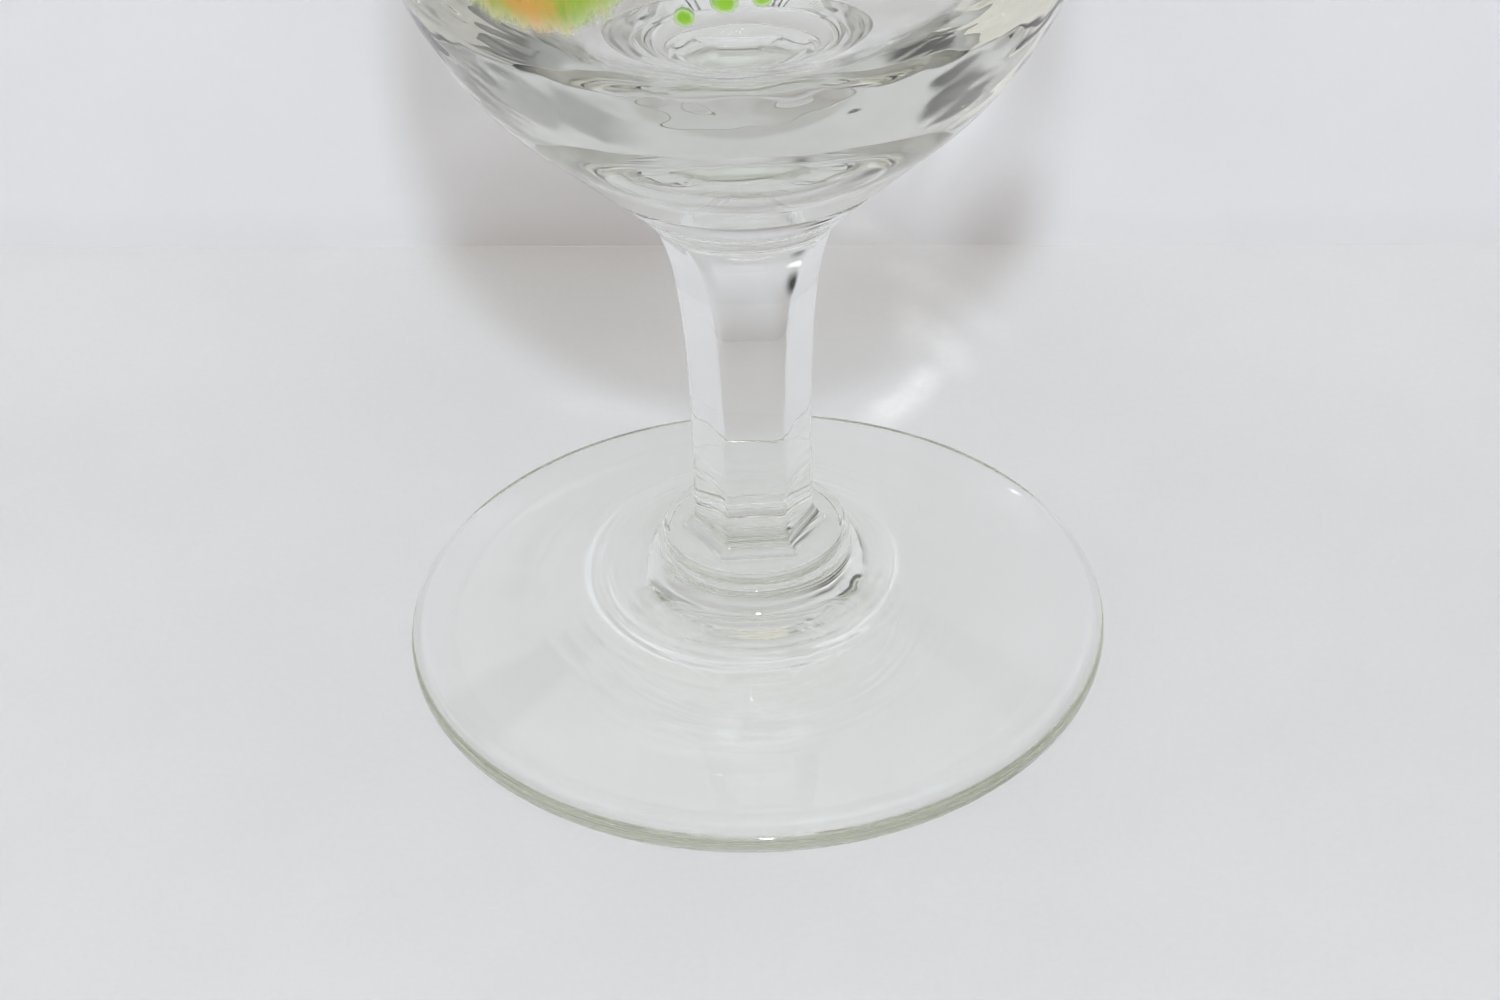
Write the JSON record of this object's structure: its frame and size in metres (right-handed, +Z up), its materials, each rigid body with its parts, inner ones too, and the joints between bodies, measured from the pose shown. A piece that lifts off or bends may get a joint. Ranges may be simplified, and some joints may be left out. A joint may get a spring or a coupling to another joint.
{
  "type": "stemmed drinking glass",
  "caption": "Small clear stemmed drinking glass: deep round bowl with a thick bottom, cone-shaped collar, six-sided stem, low cone foot and fired enamel fruit on the bowl.",
  "frame": {"origin": "centre of the foot's contact ring, at the surface that the glass stands on", "axes": "+Z up along the glass's axis, -Y towards the decorated side, +X to the right seen from that side"},
  "size_m": [0.064, 0.064, 0.112],
  "materials": {
    "clear_glass": "polished clear soda-lime glass with a faint grey-green tint",
    "fruit_enamel": "fired enamel, soft satin, yellow-green with an orange blush",
    "leaf_enamel": "fired enamel, soft satin, yellow-green",
    "berry_enamel": "fired enamel, satin, bright green",
    "stalk_enamel": "fired enamel, satin, dark green"
  },
  "bodies": {
    "root": {"foot": "clear_glass", "stem": "clear_glass", "collar": "clear_glass", "bowl": "clear_glass", "enamel_fruit_1": "fruit_enamel", "enamel_fruit_2": "fruit_enamel", "enamel_leaf_1": "leaf_enamel", "enamel_leaf_2": "leaf_enamel", "enamel_leaf_3": "leaf_enamel", "enamel_berry_1": "berry_enamel", "enamel_berry_2": "berry_enamel", "enamel_berry_3": "berry_enamel", "enamel_stalk": "stalk_enamel"}
  },
  "joints": []
}
